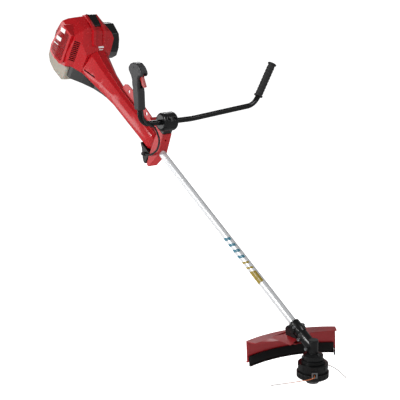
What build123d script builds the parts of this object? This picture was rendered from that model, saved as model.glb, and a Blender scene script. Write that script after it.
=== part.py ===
from build123d import *
import math
import os

# ---------------------------------------------------------------- driving dimensions (mm, degrees)
SLOPE = 33.0              # the shaft falls this much below level towards the head
TUBE_R = 13.0             # outer shaft tube
TUBE_WALL = 1.5
TUBE_LOW = 34.0           # stations along the shaft, counted up from the gearbox centre
TUBE_HIGH = 1372.0
NOSE = 985.0              # front end of the fairing
SEAM = 1452.0             # fairing meets cowling
REAR = 1640.0             # cowling meets starter cover
EYE = (1216.0, 63.0)      # rear harness eye: station, height above the shaft axis
EYE_COUNT = 4
EYE_PITCH = 43.3
EYE_R = 6.5
PLATE_T = 4.0
BAR_STATION = 969.0       # handlebar axis: station, height above the shaft axis
BAR_HEIGHT = 124.0
BAR_R = 10.0
GRIP_BASE = (0.0, -124.0, 52.0)
GRIP_LEAN = 3.0
GUARD_ROLL = 3.5          # the guard hangs this much lower at its right end
LINE_D = 2.4
CABLE_D = 7.0
SHELL = 2.5               # wall of the moulded covers
FIT = 0.05                # radial clearance of shafts in their bearings
GAP = 0.3                 # clearance between neighbouring pieces
PINION_TEETH = 14
GEAR_TEETH = 19

# ---------------------------------------------------------------- frames
# shaft frame: x up the shaft from the gearbox, y to the operator's right, z away from the ground
# head frame: x forward, y to the operator's left, z up, at the gearbox centre
# bar frame: axes as the head frame, at the middle of the handlebar
# guard frame: the head frame rolled with the guard
_c = math.cos(math.radians(SLOPE))
_s = math.sin(math.radians(SLOPE))
UP_SHAFT = Vector(-_c, 0, _s)
OFF_SHAFT = Vector(_s, 0, _c)
GEARBOX = -(UP_SHAFT * EYE[0] + OFF_SHAFT * EYE[1])
SHAFT = Plane(origin=GEARBOX, x_dir=UP_SHAFT, z_dir=OFF_SHAFT).location
HEAD = Location(GEARBOX)
BAR = Location(GEARBOX + UP_SHAFT * BAR_STATION + OFF_SHAFT * BAR_HEIGHT)
GRIP = BAR * Pos(*GRIP_BASE) * Rot(GRIP_LEAN, 0, 0)

GUARD = HEAD * Rot(GUARD_ROLL, 0, 0)

nodes = {}


def save(name, shape, frame):
    """Keep a piece under its node name, placed in the common frame."""
    solids = [frame * s for s in shape.solids()]
    nodes[name] = solids[0] if len(solids) == 1 else Compound(children=solids)


# ---------------------------------------------------------------- small shape helpers
def block(x, y, z):
    size = (x[1] - x[0], y[1] - y[0], z[1] - z[0])
    return Pos((x[0] + x[1]) / 2, (y[0] + y[1]) / 2, (z[0] + z[1]) / 2) * Box(*size)


def rod_x(r, x0, x1, y=0, z=0):
    return Pos((x0 + x1) / 2, y, z) * Rot(0, 90, 0) * Cylinder(r, x1 - x0)


def rod_y(r, y0, y1, x=0, z=0):
    return Pos(x, (y0 + y1) / 2, z) * Rot(90, 0, 0) * Cylinder(r, y1 - y0)


def rod_z(r, z0, z1, x=0, y=0):
    return Pos(x, y, (z0 + z1) / 2) * Cylinder(r, z1 - z0)


def cone_z(r0, r1, z0, z1, x=0, y=0):
    return Pos(x, y, (z0 + z1) / 2) * Cone(r0, r1, z1 - z0)


def ring_x(ro, ri, x0, x1, y=0, z=0):
    return rod_x(ro, x0, x1, y, z) - rod_x(ri, x0 - 1, x1 + 1, y, z)


def ring_z(ro, ri, z0, z1, x=0, y=0):
    return rod_z(ro, z0, z1, x, y) - rod_z(ri, z0 - 1, z1 + 1, x, y)


def outline(points, inset=0.0, corner=0.0):
    face = Polygon(*points, align=None)
    if inset:
        face = offset(face, amount=-inset, kind=Kind.INTERSECTION)
    if corner:
        face = fillet(face.vertices(), corner)
    return face


def prism_y(points, y0, y1, inset=0.0, corner=0.0):
    """Outline in x, z, extruded along y."""
    plane = Plane(origin=(0, y0, 0), x_dir=(1, 0, 0), z_dir=(0, -1, 0))
    return extrude(plane * outline(points, inset, corner), amount=y1 - y0, dir=(0, 1, 0))


def prism_x(points, x0, x1, inset=0.0, corner=0.0):
    """Outline in y, z, extruded along x."""
    plane = Plane(origin=(x0, 0, 0), x_dir=(0, 1, 0), z_dir=(1, 0, 0))
    return extrude(plane * outline(points, inset, corner), amount=x1 - x0, dir=(1, 0, 0))


def prism_z(points, z0, z1, inset=0.0, corner=0.0):
    """Outline in x, y, extruded along z."""
    plane = Plane(origin=(0, 0, z0))
    return extrude(plane * outline(points, inset, corner), amount=z1 - z0, dir=(0, 0, 1))


def group(shapes):
    return Compound(children=[s for shape in shapes for s in shape.solids()])


def corner_radii(route):
    """Arc at each corner: 0.45 of the shorter run over the tangent of half the turn."""
    points = [Vector(*p) for p in route]
    radii = []
    for a, b, c in zip(points, points[1:], points[2:]):
        turn = math.radians((b - a).get_angle(c - b))
        radii.append(0.45 * min((b - a).length, (c - b).length) / math.tan(turn / 2))
    return radii


def cord(name, route, diameter):
    """A round cord along straight runs joined by tangent arcs."""
    radii = corner_radii(route)
    path = FilletPolyline(*route, radius=radii)
    section = Plane(origin=path @ 0, z_dir=path % 0) * Circle(diameter / 2)
    solid = sweep(section, path=path)
    expected = math.pi * diameter**2 / 4 * path.length
    print(name, "length %.0f volume %.0f of %.0f" % (path.length, solid.volume, expected))
    print(name, "radii", [round(r) for r in radii])
    return solid


# ---------------------------------------------------------------- shaft
def shaft_pieces():
    save("shaft_tube", ring_x(TUBE_R, TUBE_R - TUBE_WALL, TUBE_LOW, TUBE_HIGH), SHAFT)
    # solid drive rod with a squared front end that sits in the pinion
    save("drive_shaft", rod_x(4, 26, 1382), SHAFT)
    bushes = [ring_x(TUBE_R - TUBE_WALL - FIT, 4 + FIT, x, x + 30) for x in (90, 350, 610, 870, 1130, 1335)]
    balls = [ring_x(11.4, 6.5 + FIT, 17, 30), ring_x(TUBE_R - 0.1, 6.5 + FIT, 1373, 1387)]
    into_shaft = SHAFT.inverse() * HEAD
    balls += [into_shaft * ring_z(11.9, 5 + FIT, -16, -9.5), into_shaft * ring_z(15, 5 + FIT, -37.5, -29.5)]
    save("shaft_bearings", group(bushes + balls), SHAFT)


# ---------------------------------------------------------------- gearbox
def gear_cone(teeth, pitch_r, half_angle):
    """Straight bevel wheel about +z with its cone point at the origin, opening upwards."""
    tan_a = math.tan(math.radians(half_angle))
    mean_z = pitch_r / tan_a
    slant = math.radians(90 - half_angle)
    half_face = 2.0
    inner_z = mean_z - half_face * math.sin(slant)
    outer_z = mean_z + half_face * math.sin(slant)
    r0 = inner_z * tan_a - 0.9 * math.sin(slant)
    r1 = outer_z * tan_a - 0.9 * math.sin(slant)
    sink = 0.9 * math.cos(slant)
    body = cone_z(r0, r1, inner_z + sink, outer_z + sink)
    tooth = Rot(0, half_angle, 0) * Pos(-0.15, 0, mean_z / math.cos(math.radians(half_angle)))
    tooth = tooth * Box(1.3, 1.1, 2 * half_face - 0.6)
    for i in range(teeth):
        body += Rot(0, 0, 360 * i / teeth) * tooth
    return body, outer_z + sink, r1


SIDE_SCREWS = (8.0, 48.0)


def gearbox_pieces():
    sigma = math.radians(90 + SLOPE)
    ratio = GEAR_TEETH / PINION_TEETH
    pinion_half = math.degrees(math.atan2(math.sin(sigma), ratio + math.cos(sigma)))
    gear_half = 90 + SLOPE - pinion_half
    gear_r = 10.0
    pinion_r = gear_r / ratio
    # pinion: cone opens up the shaft, a tooth towards the gear
    pinion, back, r = gear_cone(PINION_TEETH, pinion_r, pinion_half)
    pinion += rod_z(r, back, back + 3)
    pinion += rod_z(6.5, back + 3, 33)
    pinion -= rod_z(4 + FIT, 25.9, 40)
    save("drive_pinion", Rot(0, 90, 0) * pinion, SHAFT)
    # output gear: cone opens down, and its odd tooth count leaves a gap towards the pinion
    gear, back, r = gear_cone(GEAR_TEETH, gear_r, gear_half)
    gear += rod_z(r, back, back + 3)
    gear -= rod_z(5 + FIT, -1, 30)
    save("output_gear", Rot(180, 0, 0) * gear, HEAD)

    # a collar keeps the gear on the spindle, whose lower end carries the head
    spindle = rod_z(5, -66, -1.6) + rod_z(6.5, -40.5, -38.2)
    save("output_spindle", spindle, HEAD)

    into_head = HEAD.inverse() * SHAFT
    case = rod_z(15, -17, 29) + cone_z(30, 20, -20, -14) + rod_z(32, -39, -20)
    socket = rod_x(18, 8, 62) + block((14, 56), (-6, 6), (-22, 0))
    case += into_head * socket
    # raised hoop round the top of the boss and two side ribs
    case += ring_z(16.2, 14, 22, 25) + block((-29, 29), (-2, 2), (-24, -8))
    for x in SIDE_SCREWS:
        case += into_head * rod_y(6.5, 13.2, 21, x, -5)
        case -= into_head * rod_y(3 + FIT, 0, 30, x, -5)
    case = case - into_head * (rod_x(11.5, 2, 40) + rod_x(TUBE_R + FIT, TUBE_LOW - 0.1, 70))
    case = case - rod_z(12, -16.1, 8) - rod_z(15 + FIT, -45, -29.4) - rod_z(8, -30, -10)
    # grease plug on the side, its axis square to the spindle
    away = Vector(-17, -23, 0).normalized()
    seat = Plane(origin=away * 32 + Vector(0, 0, -29), z_dir=away)
    case -= extrude(seat * Circle(4), amount=-9.5)
    save("gearbox_case", case, HEAD)
    plug = extrude(seat * RegularPolygon(6, 6), amount=4) + extrude(seat * Circle(4 - FIT), amount=-9)
    save("grease_plug", plug, HEAD)
    cap = ring_z(38, 12, -45, -39.2) - rod_z(20, -41.5, -38) + ring_z(36, 33, -39.2, -36)
    save("gearbox_cap", cap, HEAD)


# ---------------------------------------------------------------- cutting head
def round_array(count, start, shape):
    return [Rot(0, 0, start + 360 * i / count) * shape for i in range(count)]


EYELET_ANGLE = -38.5
# free ends of the nylon line, head frame: one level, one drooping
LINE_RIGHT = [(37.6, -29.9, -72), (49, -39, -72.5), (46, -56, -74.5), (31, -76, -79), (5, -98, -87),
              (-24, -118, -97), (-52, -131, -107)]
LINE_LEFT = [(-37.6, 29.9, -72), (-50, 39.8, -73), (-47, 64, -77), (-32, 95, -87), (-13, 132, -110),
             (-1, 158, -142)]


def head_pieces():
    drum = ring_z(47, 44, -73, -45.5) + rod_z(47, -49, -45.5)
    drum += rod_z(10, -60, -48) + ring_z(48, 45, -50, -46.5)
    drum -= rod_z(5 + FIT, -70, -40)
    for turn in range(12):
        drum += Rot(0, 0, 30 * turn + 6) * block((46, 48), (-1.2, 1.2), (-62, -49))
    window = block((38, 52), (-9.2, 9.2), (-80.3, -61.7))
    for angle in (EYELET_ANGLE, EYELET_ANGLE + 180):
        drum -= Rot(0, 0, angle) * window
    save("head_housing", drum, HEAD)
    cap = ring_z(51, 44.3, -91, -73.3) + (cone_z(43, 51, -96, -91) - rod_z(26, -97, -90))
    cap += ring_z(46, 26, -91, -88.5)
    for turn in range(18):
        cap -= Rot(0, 0, 20 * turn) * block((49.6, 53), (-2, 2), (-90, -78))
    for angle in (EYELET_ANGLE, EYELET_ANGLE + 180):
        cap -= Rot(0, 0, angle) * window
    save("head_cap", cap, HEAD)
    eyelet = block((43, 50.5), (-9, 9), (-80, -62)) - block((40, 55), (-4.5, 4.5), (-77, -66))
    save("line_eyelets", group(round_array(2, EYELET_ANGLE, eyelet)), HEAD)
    # the flange stops half a millimetre short of the spool at the end of its 6 mm stroke
    knob = cone_z(20, 24, -112, -104) + rod_z(24, -104, -94.5) + rod_z(12, -94.5, -80)
    for turn in range(10):
        knob -= Rot(0, 0, 36 * turn) * rod_z(4, -113, -96, 26)
    knob -= rod_z(6, -90, -79)
    save("bump_knob", knob, HEAD)
    spool = ring_z(16, 12.3, -86, -58) + ring_z(40, 12.3, -88, -86) + ring_z(40, 12.3, -58, -56)
    save("line_spool", group([spool, ring_z(33, 16.1, -85.7, -58.3)]), HEAD)
    spring_path = Helix(pitch=3.6, height=18, radius=8)
    wire = Plane(origin=spring_path @ 0, z_dir=spring_path % 0) * Circle(0.7)
    spring = Pos(0, 0, -79.2) * sweep(wire, path=spring_path)
    save("bump_spring", spring, HEAD)
    save("cutting_line_right", cord("cutting_line_right", LINE_RIGHT, LINE_D), HEAD)
    save("cutting_line_left", cord("cutting_line_left", LINE_LEFT, LINE_D), HEAD)


# ---------------------------------------------------------------- guard
GUARD_RIGHT = (-188.0, -115.0)    # ends and middle of the rim, guard frame, seen from above
GUARD_MID = (-162.0, 42.0)
GUARD_LEFT = (-70.0, 172.0)
KNIFE = Pos(-66, 161, 0) * Rot(0, 0, -47)


def rim_band(out0, out1, z0, z1, trim=0.0):
    """Wall between two offsets of the rim arc; positive offsets lie further from the head."""
    rim = ThreePointArc(GUARD_RIGHT, GUARD_MID, GUARD_LEFT)
    centre = Vector(rim.arc_center.X, rim.arc_center.Y)
    radius = rim.radius

    def arc(out):
        ends = []
        for point, side in ((GUARD_RIGHT, 1), (GUARD_LEFT, -1)):
            ray = Vector(*point) - centre
            ray = ray.rotate(Axis.Z, -side * math.degrees(trim / radius))
            ends.append(centre + ray.normalized() * (radius + out))
        mid = centre + (Vector(*GUARD_MID) - centre).normalized() * (radius + out)
        return ends, mid

    (a0, a1), am = arc(out1)
    (b0, b1), bm = arc(out0)
    edges = [ThreePointArc(a0, am, a1), Line(a1, b1), ThreePointArc(b1, bm, b0), Line(b0, a0)]
    return extrude(Pos(0, 0, z0) * make_face(edges), amount=z1 - z0)


def guard_pieces():
    rim = ThreePointArc(GUARD_RIGHT, GUARD_MID, GUARD_LEFT)
    front = Polyline(GUARD_LEFT, (-44, 153), (-92, 78), (-66, 30), (-58, 18), (-58, -18), (-72, -26),
                     (-112, -34), (-152, -108), GUARD_RIGHT)
    plate = extrude(make_face([rim, front]), amount=3)
    wall = rim_band(-3, 0, -72, 3)
    lip = rim_band(0, 4, -72, -69)
    # tent-shaped rib that stiffens the plate from the mount out to the rim
    rib = prism_x([(-40, 3), (-8, 17), (14, 17), (44, 3)], -150, -62)
    rib -= prism_x([(-38, 2.9), (-8, 14), (14, 14), (42, 2.9)], -147, -61)
    slope = prism_y([(-160, -1), (-62, -1), (-62, 40), (-100, 22), (-158, 3)], -60, 60)
    guard = plate + wall + lip + (rib & slope)
    save("guard", guard, GUARD)

    skirt = rim_band(-6.3, -3 - GAP, -86, -52, trim=6)
    skirt += rim_band(-11, -6.3, -86, -83, trim=6)
    skirt += KNIFE * block((-17, 13), (1 + GAP, 4), (-88, -72.5))
    save("guard_skirt", skirt, GUARD)
    save("line_cutter", KNIFE * block((-15, 15), (-1, 1), (-98, -73)), GUARD)


def socket_bolt(length):
    """Cap screw, 6 mm thread, seated at z = 0 with its shank below."""
    head = rod_z(5.2, 0, 5.5) - Pos(0, 0, 2.5) * extrude(RegularPolygon(2.8, 6), amount=4)
    return head + rod_z(3, -length, 0.1)


def guard_clamp_pieces():
    # lower half carries the guard on a foot, upper half is a saddle over the tube
    inner = TUBE_R + FIT
    lower = rod_x(19, 64, 108) & block((60, 110), (-30, 30), (-30, -0.6))
    lower += block((76, 96), (-26.5, 26.5), (-8, -0.6))
    lower -= rod_x(inner, 60, 112)
    upper = rod_x(19, 64, 108) & block((60, 110), (-30, 30), (0.6, 30))
    upper += block((76, 96), (-26.5, 26.5), (0.6, 6))
    upper -= rod_x(inner, 60, 112)
    for y in (-20.5, 20.5):
        upper -= rod_z(5.6, 6, 30, 86, y) + rod_z(3 + FIT, 0, 10, 86, y)
        lower -= rod_z(3 + FIT, -12, 0, 86, y)
    save("guard_clamp_upper", upper, SHAFT)
    # foot in the head frame: drops from the lower half to the guard plate
    into_shaft = SHAFT.inverse() * GUARD
    foot = prism_y([(-108, 17.3), (-62, 17.3), (-62, 22), (-78, 60), (-96, 60), (-112, 40)], -14, 14)
    lower += into_shaft * foot & block((62, 130), (-30, 30), (-90, -15))
    lower -= rod_x(inner, 60, 140)
    save("guard_clamp_lower", lower, SHAFT)
    bolts = []
    for y in (-20.5, 20.5):
        bolts.append(Pos(86, y, 6.1) * socket_bolt(18))
    for x in SIDE_SCREWS:
        bolts.append(Pos(x, 21.1, -5) * Rot(-90, 0, 0) * socket_bolt(5))
    return bolts


# ---------------------------------------------------------------- handle
HANDLE_ROUTE = [(0, -129.4, 155), (0, -121.275, 0), (0, 100, 0), (0, 410, 26), (0, 497, 171)]
HANDLE_BENDS = [38, 400, 70]
# throttle cable, bar frame: out of the grip, round the bar's bend and down to the gland beside the nose
CABLE_ROUTE = [(14, -124, 51.6), (14, -122, 26), (15, -110, 3), (15, -86, -7), (10, -70, -12),
               (2, -56, -28),
               (6, -48, -51), (1, -42, -74), (-24, -34, -104), (-54, -30, -122), (-84, -26.5, -131),
               (-108, -26.5, -131)]


def handle_pieces():
    bracket_side = [(950, 80), (1046, 80), (1046, 71), (1012, 68), (982, 56), (976, -30), (968, -78),
                    (956, -78), (937, -14), (934, 0)]
    bracket = prism_y(bracket_side, -20, 20)
    bracket = fillet(bracket.edges().filter_by(Axis.Y).group_by(Axis.X)[0], 3)
    bracket -= rod_x(TUBE_R + FIT, 900, 1100)
    bracket -= rod_x(17, 950, 1000) & block((958, 1000), (-30, 30), (-30, 30))
    bracket -= rod_x(4, 900, 955, 0, 54)
    save("handle_bracket", bracket, SHAFT)

    # clamp halves: round outside, seat on the bracket's flat top
    body = rod_y(34, -24, 37, BAR_STATION, BAR_HEIGHT)
    body = fillet(body.edges(), 11)
    body -= rod_y(BAR_R + FIT, -50, 50, BAR_STATION, BAR_HEIGHT)
    lower = body & block((900, 1040), (-50, 50), (80.2, BAR_HEIGHT - 0.7))
    lower += block((BAR_STATION - 17, BAR_STATION + 34), (-19, 19), (80.2, 100))
    lower -= rod_y(BAR_R + FIT, -50, 50, BAR_STATION, BAR_HEIGHT)
    upper = body & block((900, 1040), (-50, 50), (BAR_HEIGHT + 0.7, 200))
    spots = [(BAR_STATION + dx, dy) for dx in (-19, 19) for dy in (-8, 21)]
    bolts = []
    for x, y in spots:
        upper -= rod_z(6.5, BAR_HEIGHT + 18, 200, x, y)
        upper -= rod_z(3 + FIT, 60, 200, x, y)
        lower -= rod_z(3 + FIT, BAR_HEIGHT - 24, 200, x, y)
        bolts.append(Pos(x, y, BAR_HEIGHT + 18.1) * socket_bolt(40))
    save("clamp_lower", lower, SHAFT)
    save("clamp_upper", upper, SHAFT)
    save("cap_screws", group(bolts + guard_clamp_pieces()), SHAFT)

    path = FilletPolyline(*HANDLE_ROUTE, radius=HANDLE_BENDS)
    start = Plane(origin=path @ 0, z_dir=path % 0)
    bar = sweep(start * Circle(BAR_R), path=path) - sweep(start * Circle(BAR_R - 1.5), path=path)
    save("handlebar", bar, BAR)

    # plain rubber grip: slides over the bar's end
    tip = Vector(*HANDLE_ROUTE[-1])
    axis = (tip - Vector(*HANDLE_ROUTE[-2])).normalized()
    along = Plane(origin=tip, z_dir=axis)
    grip = along.location * (rod_z(13.5, -128, 0) + rod_z(17, -133, -128) + rod_z(17, 1, 5))
    grip += along.location * (rod_z(13.5, 0, 1))
    for i in range(9):
        grip += along.location * rod_z(14.6, -122 + 13 * i, -114 + 13 * i)
    grip -= along.location * rod_z(BAR_R + FIT, -140, 0.1)
    save("left_grip", grip, BAR)


def throttle_pieces():
    profile = [(-15, 0), (15, 0), (17, 62), (15, 80), (18, 113), (24, 119), (36, 119), (41, 126), (39, 137),
               (28, 152), (12, 163), (-6, 166), (-24, 161), (-36, 149), (-37, 138), (-24, 118), (-18, 98),
               (-18, 45)]
    grip = prism_y(profile, -15, 15, corner=2)
    rim = grip.edges().filter_by(lambda e: abs(abs(e.center().Y) - 15) < 0.01)
    grip = fillet(rim, 5.5)
    hollow = prism_y([(x, z) for x, z in profile if z > 112], -11.5, 11.5, inset=3.5)
    grip -= hollow & block((-60, 60), (-20, 20), (119, 170))
    grip -= rod_z(BAR_R + FIT, -1, 112)
    grip -= block((9, 60), (-5.4, 5.4), (76, 130))
    grip -= block((-60, -11), (-4.9, 4.9), (70, 126))
    grip -= rod_y(2 + FIT, -13.1, 13.1, 20, 127)
    grip -= rod_y(2 + FIT, -13.1, 13.1, -17, 117)
    screws = [(31, 139), (0, 149), (-28, 147)]
    for x, z in screws:
        grip -= rod_y(2.2, -20, 12.8, x, z) + rod_y(4, -20, -12.5, x, z)
    grip -= block((-13, 1), (13.2, 18), (150.8, 159.2))
    near = grip & block((-80, 80), (-40, -0.05), (-10, 200))
    far = grip & block((-80, 80), (0.05, 40), (-10, 200))
    save("grip_right_half", near, GRIP)
    # the left half carries the moulded pins that the trigger and the lock-out lever turn on
    far += rod_y(2, -12.5, 13.5, 20, 127) + rod_y(2, -12.5, 13.5, -17, 117)
    save("grip_left_half", far, GRIP)
    bolts = []
    for x, z in screws:
        head = rod_y(3.8, -14.2, -12.6, x, z) - rod_y(1.6, -16, -13.4, x, z)
        bolts.append(head + rod_y(2, -12.7, 12.3, x, z))
    save("grip_screws", group(bolts), GRIP)
    side = [(14, 133), (26, 132), (28.5, 118), (42, 84), (36, 80), (27, 90), (18, 112)]
    trigger = prism_y(side, -5, 5, corner=1.5)
    trigger -= rod_y(2 + FIT, -6, 6, 20, 127)
    save("throttle_trigger", trigger, GRIP)
    side = [(-20, 121), (-28, 112), (-32, 96), (-31, 80), (-24, 73), (-18, 74), (-16, 96), (-13.5, 121)]
    lever = prism_y(side, -4.5, 4.5, corner=1.2)
    lever -= rod_y(2 + FIT, -6, 6, -17, 117)
    save("lockout_lever", lever, GRIP)
    switch = block((-8, -2), (13.3, 17.8), (151, 159))
    save("stop_switch", switch, GRIP)
    save("throttle_cable", cord("throttle_cable", CABLE_ROUTE, CABLE_D), BAR)


def harness_pieces():
    side = [(1046.3, 43), (1046.3, 72), (1125, 78), (1216, 82), (1238, 80), (1251, 71), (1256, 57),
            (1256, 46)]
    plate = prism_y(side, -PLATE_T / 2, PLATE_T / 2)
    for i in range(EYE_COUNT):
        plate -= rod_y(EYE_R, -10, 10, EYE[0] - EYE_PITCH * i, EYE[1])
    save("harness_plate", plate, SHAFT)


# ---------------------------------------------------------------- fairing
# station, half width, lowest and highest point, and how far up the section is widest
FAIRING = [(NOSE, 16, -20, 28, 0.58), (1003, 25, -29, 39, 0.58), (1100, 27, -30, 42, 0.58),
           (1256, 29, -31, 43, 0.56), (1345, 37, -40, 52, 0.48), (SEAM, 54, -52, 76, 0.36)]
BEAD_R = 1.5
FLOOR = -25.0             # the fairing's side walls end here where the lower cover takes over


def fairing_section(station, half_width, low, high, waist, inset):
    w = half_width - inset
    low += inset
    high -= inset
    h = high - low
    right = [(0.5 * w, low), (0.93 * w, low + 0.2 * h * waist / 0.58), (w, low + waist * h)]
    right += [(0.7 * w, high - 0.12 * h), (0.26 * w, high)]
    points = right + [(-y, z) for y, z in reversed(right)]
    plane = Plane(origin=(station, 0, 0), x_dir=(0, 1, 0), z_dir=(1, 0, 0))
    return plane * Polygon(*points, align=None)


def bead(points, radius):
    """Round moulded bead along a run of points."""
    shape = None
    for a, b in zip(points, points[1:]):
        run = Plane(origin=a, z_dir=b - a) * extrude(Circle(radius), amount=(b - a).length)
        ball = Pos(*a) * Sphere(radius)
        shape = run + ball if shape is None else shape + run + ball
    return shape & block((900, SEAM), (-100, 100), (-100, 200))


def fairing_pieces():
    outer = loft([fairing_section(*row, 0) for row in FAIRING], ruled=True)
    stations = [(FAIRING[0][0] + SHELL, *FAIRING[0][1:])] + FAIRING[1:-1] + [(SEAM + 0.5, *FAIRING[-1][1:])]
    inner = loft([fairing_section(*row, SHELL) for row in stations], ruled=True)
    shell = outer - inner
    shell -= rod_x(TUBE_R + GAP, 900, 1000)
    shell -= block((1300, 1500), (-60, 60), (-90, FLOOR))
    slot = prism_y([(1380, 3), (1383, 8), (1446, -3), (1444, -8)], 30, 60)
    shell -= slot
    for side in (1, -1):
        ridge = [Vector(s, side * 0.26 * w, high - 0.4) for s, w, _, high, _ in FAIRING[1:]]
        shell += bead(ridge, BEAD_R)
    save("fairing", shell, SHAFT)

    side = [(1300.3, FLOOR - GAP), (1492, FLOOR - GAP), (1521, -39), (1521, -90), (1503, -91), (1440, -67),
            (1380, -49), (1330, -36), (1300.3, -31)]
    plan = [(1300.3, -22), (1380, -31), (1440, -46), (1500, -60), (1521, -62), (1521, 62), (1500, 60),
            (1440, 46), (1380, 31), (1300.3, 22)]
    cover = prism_y(side, -70, 70, corner=0.8) & prism_z(plan, -120, 0)
    side = [(1318, -10), (1505, -10), (1505, -87), (1503, -88), (1440, -64), (1380, -46), (1330, -33)]
    cavity = prism_y(side, -70, 70)
    cavity &= prism_z(plan, -120, 0, inset=SHELL)
    save("lower_cover", cover - cavity, SHAFT)

    buffer_side = [(975.8, -32), (1046, -32), (1024, -47), (1000, -76), (986, -85), (977, -82)]
    buffer = prism_y(buffer_side, -20, 20, corner=2)
    buffer = fillet(buffer.edges().filter_by(lambda e: abs(abs(e.center().Y) - 20) < 0.01), 1.5)
    # the buffer's side boss takes the end of the throttle cable
    boss = rod_x(6.2, -126, -108.1, -26.5, -131) + block((-126, -112), (-30, -19), (-137, -125))
    save("nose_buffer", buffer + SHAFT.inverse() * BAR * boss, SHAFT)


# ---------------------------------------------------------------- cowling
COWL_SIDE = [(1452.6, -25), (1452.6, 75), (1492, 138), (1512, 146), (1574, 152), (1606, 120), (REAR, 50),
             (REAR, -50), (1550, -50), (1493, -25)]
COWL_FRONT = [(-70, -52), (-76, 30), (-70, 104), (-52, 134), (-30, 152), (30, 152), (60, 136),
              (92, 106), (100, 30), (96, -52)]
COWL_PLAN = [(1452.6, -50), (1452.6, 54), (1490, 76), (1504, 95), (1516, 100), (1600, 100),
             (REAR, 84), (REAR, -74), (1500, -76), (1470, -60)]
RIDGE = [(1462, 90), (1462, 98), (1488, 144), (1510, 154), (1572, 160), (1585, 148), (1560, 120)]


# flat facets cut off the front: a point on each and its outward direction
FACETS = [((1452.6, 10, 75), (-0.805, 0.233, 0.545)),
          ((1503.6, 78.6, 109), (-0.62, 0.6, 0.5))]


def cowl_block(inset=0.0):
    side = prism_y(COWL_SIDE, -120, 120, inset)
    front = prism_x(COWL_FRONT, 1400, 1700, inset)
    plan = prism_z(COWL_PLAN, -100, 200, inset)
    body = side & front & plan
    for point, outward in FACETS:
        plane = Plane(origin=Vector(*point) - Vector(*outward).normalized() * inset, z_dir=outward)
        body -= plane.location * Pos(0, 0, 150) * Box(600, 600, 300)
    return body


def cowling_pieces():
    outer = cowl_block()
    shell = outer - cowl_block(SHELL)
    # open to the fairing in front and to the starter cover behind
    mouth = fairing_section(1440, *FAIRING[-1][1:], 6)
    shell -= extrude(mouth, amount=24, dir=(1, 0, 0)) & block((1440, 1470), (-60, 60), (-26, 90))
    shell -= block((REAR - 8, REAR + 5), (-68, 68), (-46, 60))
    shell -= block((1440, 1552), (-44, 44), (-60, -15))
    for y in ((20.3, 32), (-24, -12.3)):
        shell += prism_y(RIDGE, *y) - cowl_block(SHELL)
    # louvres in the slanted panel between the front and the right side
    louvre = Rot(0, 0, math.degrees(math.atan2(25, 14)))
    for i in range(11):
        shell -= Pos(1497, 82.5, 4 + 8.4 * i) * louvre * Box(24, 14, 5.2)
    shell -= block((1526, 1590), (60, 110), (-14, 96))
    shell -= rod_z(11, 120, 170, *PLUG)
    shell -= block((1490, 1590), (-90, -60), (20, 100))
    shell -= rod_y(9.5, -90, -60, *PRIMER) + rod_y(3 + FIT, -90, -60, *CHOKE)
    save("engine_cowling", shell, SHAFT)

    # muffler cover on the right: a tray with a slotted face
    face = [(1516, 106), (1566, 122), (1587, 64), (1601, 5), (1597, -17), (1577, -28), (1530, -33),
            (1518, -22)]
    draft = [(1510, 50), (1514, 104), (1560, 118), (1596, 121), (1606, 118), (1606, 50)]
    tray = prism_y(face, 50, 130, corner=3) & prism_z(draft, -60, 150)
    hollow = prism_y(face, 40, 130, inset=SHELL) & prism_z(draft, -60, 150, inset=SHELL)
    hollow += prism_y(face, 40, 90, inset=SHELL)
    tray -= cowl_block(-GAP)
    tray -= hollow
    window = prism_y(face, 90, 130, inset=9)
    for i in range(22):
        tray -= window & block((1500, 1620), (90, 130), (-23 + 6 * i, -19.4 + 6 * i))
    save("muffler_cover", tray, SHAFT)

    cap = prism_y([(1509, 140), (1513, 152), (1566, 164), (1578, 160), (1586, 140)], -12, 20, corner=2)
    cap -= cowl_block(-GAP)
    save("plug_cover", cap, SHAFT)

    air = [(1471, 32), (1474, 66), (1488, 98), (1504, 116), (1555, 128), (1583, 114), (1599, 84),
           (1598, 24), (1584, 6), (1490, 6)]
    box = prism_y(air, -106, -56, corner=8)
    outer_rim = box.edges().filter_by(lambda e: abs(e.center().Y + 106) < 0.01)
    box = fillet(outer_rim, 9)
    box -= cowl_block(-GAP)
    box -= prism_y(air, -103, -50, inset=3)
    save("air_filter_cover", box, SHAFT)
    save("air_filter_element", prism_y(air, -98, -84, inset=12, corner=4), SHAFT)


# ---------------------------------------------------------------- engine
CYLINDER = 1516.0         # station of the cylinder axis
PLUG = (CYLINDER + 8, 4.0)
PRIMER = (1615.0, -22.0)
CHOKE = (1612.0, 28.0)
STARTER_R = 42.0


def clutch_pieces():
    housing = ring_x(32, 29.5, 1392, 1451) + ring_x(32, TUBE_R + FIT, 1388, 1392)
    housing += ring_x(20, TUBE_R + FIT, 1352, 1388) + ring_x(36, 29.5, 1447, 1451)
    save("clutch_housing", housing, SHAFT)
    drum = ring_x(27, 25, 1396, 1420) + rod_x(27, 1393, 1396) + rod_x(6.5, 1372.2, 1393)
    save("clutch_drum", drum - rod_x(4 + FIT, 1370, 1382.1), SHAFT)
    shoe = ring_x(24.2, 12.5, 1400, 1418) & (block((1400, 1418), (-30, 30), (2, 30)))
    shoe -= rod_x(3, 1399, 1419, 16, 8)
    save("clutch_shoes", group([shoe, Rot(180, 0, 0) * shoe]), SHAFT)


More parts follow.
